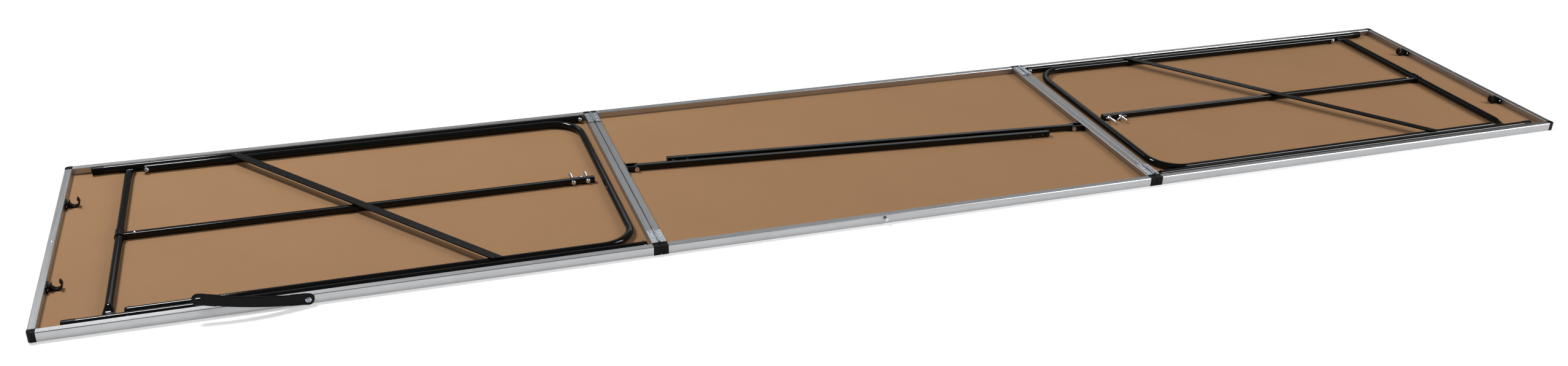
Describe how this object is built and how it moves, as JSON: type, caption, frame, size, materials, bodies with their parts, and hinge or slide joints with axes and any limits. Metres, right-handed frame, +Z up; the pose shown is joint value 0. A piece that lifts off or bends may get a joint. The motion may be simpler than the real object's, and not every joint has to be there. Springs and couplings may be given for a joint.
{
  "type": "folding trestle table",
  "caption": "Folding trestle table: framed boards hinged in sections, fold-out tube legs with props and brace bars, clips and a carry handle; stored underside up.",
  "frame": {"origin": "on the floor under the middle of the table, which lies on its work surface", "axes": "+X along the table to the right end, +Y to the back (away from the handle), +Z up from the floor"},
  "size_m": [3, 0.6115, 0.0479],
  "materials": {
    "aluminium_rail": "brushed extrusion",
    "board": "raw fibreboard, smooth matt face",
    "black_tube": "gloss black enamel",
    "black_plastic": "moulded, slightly matt",
    "zinc": "zinc plated"
  },
  "bodies": {
    "middle_section": {"middle_board": "board", "middle_front_rail": "aluminium_rail", "middle_back_rail": "aluminium_rail", "middle_left_rail": "aluminium_rail", "middle_right_rail": "aluminium_rail", "middle_corners": "black_plastic", "flat_hinge_leaves": "zinc", "flat_hinge_pins": "zinc", "barrel_hinge_leaves": "zinc", "barrel_hinge_pins": "zinc", "left_bar_bracket": "black_tube", "right_bar_bracket": "black_tube", "bar_bolts": "zinc", "latch_stud": "zinc"},
    "left_section": {"left_board": "board", "left_front_rail": "aluminium_rail", "left_back_rail": "aluminium_rail", "left_end_rail": "aluminium_rail", "left_joint_rail": "aluminium_rail", "left_end_corners": "black_plastic", "left_joint_corners": "black_plastic", "left_tube_clips": "black_plastic", "left_leg_bolts": "zinc", "left_hinge_leaves": "zinc", "handle_screw": "zinc"},
    "left_leg": {"left_leg_tubes": "black_tube", "left_leg_feet": "black_plastic", "left_cross_tube": "black_tube", "left_frame_bolts": "zinc"},
    "left_prop": {"left_prop_tube": "black_tube", "left_diagonal_bar": "black_tube"},
    "left_strut": {"left_strut_tube": "black_tube", "left_strut_bolts": "zinc", "left_wing_nuts": "zinc"},
    "left_bar": {"left_bar": "black_tube"},
    "right_section": {"right_board": "board", "right_front_rail": "aluminium_rail", "right_back_rail": "aluminium_rail", "right_end_rail": "aluminium_rail", "right_joint_rail": "aluminium_rail", "right_end_corners": "black_plastic", "right_joint_corners": "black_plastic", "right_tube_clips": "black_plastic", "right_leg_bolts": "zinc", "right_hinge_leaves": "zinc"},
    "right_leg": {"right_leg_tubes": "black_tube", "right_leg_feet": "black_plastic", "right_cross_tube": "black_tube", "right_frame_bolts": "zinc"},
    "right_prop": {"right_prop_tube": "black_tube", "right_diagonal_bar": "black_tube"},
    "right_strut": {"right_strut_tube": "black_tube", "right_strut_bolts": "zinc", "right_wing_nuts": "zinc"},
    "right_bar": {"right_bar": "black_tube"},
    "handle": {"carry_handle": "black_plastic"}
  },
  "joints": [
    {"name": "left_fold", "type": "hinge", "parent": "middle_section", "child": "left_section", "pos_m": [-0.5, 0, 0.0192], "axis": [0, -1, 0], "range_deg": [-180, 0]},
    {"name": "right_fold", "type": "hinge", "parent": "middle_section", "child": "right_section", "pos_m": [0.5025, 0, 0.0199], "axis": [0, 1, 0], "range_deg": [-100, 0]},
    {"name": "left_leg_swing", "type": "hinge", "parent": "left_section", "child": "left_leg", "pos_m": [-0.525, 0, 0.0119], "axis": [0, 1, 0], "range_deg": [0, 54.8]},
    {"name": "right_leg_swing", "type": "hinge", "parent": "right_section", "child": "right_leg", "pos_m": [0.525, 0, 0.0119], "axis": [0, -1, 0], "range_deg": [0, 54.8]},
    {"name": "left_prop_swing", "type": "hinge", "parent": "left_leg", "child": "left_prop", "pos_m": [-1.357, 0, 0.0119], "axis": [0, -1, 0], "range_deg": [0, 135]},
    {"name": "right_prop_swing", "type": "hinge", "parent": "right_leg", "child": "right_prop", "pos_m": [1.357, 0, 0.0119], "axis": [0, 1, 0], "range_deg": [0, 135]},
    {"name": "left_strut_swing", "type": "hinge", "parent": "left_leg", "child": "left_strut", "pos_m": [-1.387, 0, 0.013], "axis": [0, -1, 0], "range_deg": [0, 121.5]},
    {"name": "right_strut_swing", "type": "hinge", "parent": "right_leg", "child": "right_strut", "pos_m": [1.387, 0, 0.013], "axis": [0, 1, 0], "range_deg": [0, 121.5]},
    {"name": "left_bar_swing", "type": "hinge", "parent": "middle_section", "child": "left_bar", "pos_m": [-0.465, 0.028, 0.0103], "axis": [-0.083, -0.9966, 0], "range_deg": [0, 25.4]},
    {"name": "right_bar_swing", "type": "hinge", "parent": "middle_section", "child": "right_bar", "pos_m": [0.465, -0.028, 0.0103], "axis": [0.083, 0.9966, 0], "range_deg": [0, 25.4]},
    {"name": "handle_swing", "type": "hinge", "parent": "left_section", "child": "handle", "pos_m": [-1.088, -0.3, 0.01], "axis": [0, -1, 0], "range_deg": [-163.8, 0]}
  ],
  "couplings": [
    {"joint": "left_strut_swing", "follows": "left_prop_swing", "ratio": 0.9},
    {"joint": "right_strut_swing", "follows": "right_prop_swing", "ratio": 0.9}
  ]
}
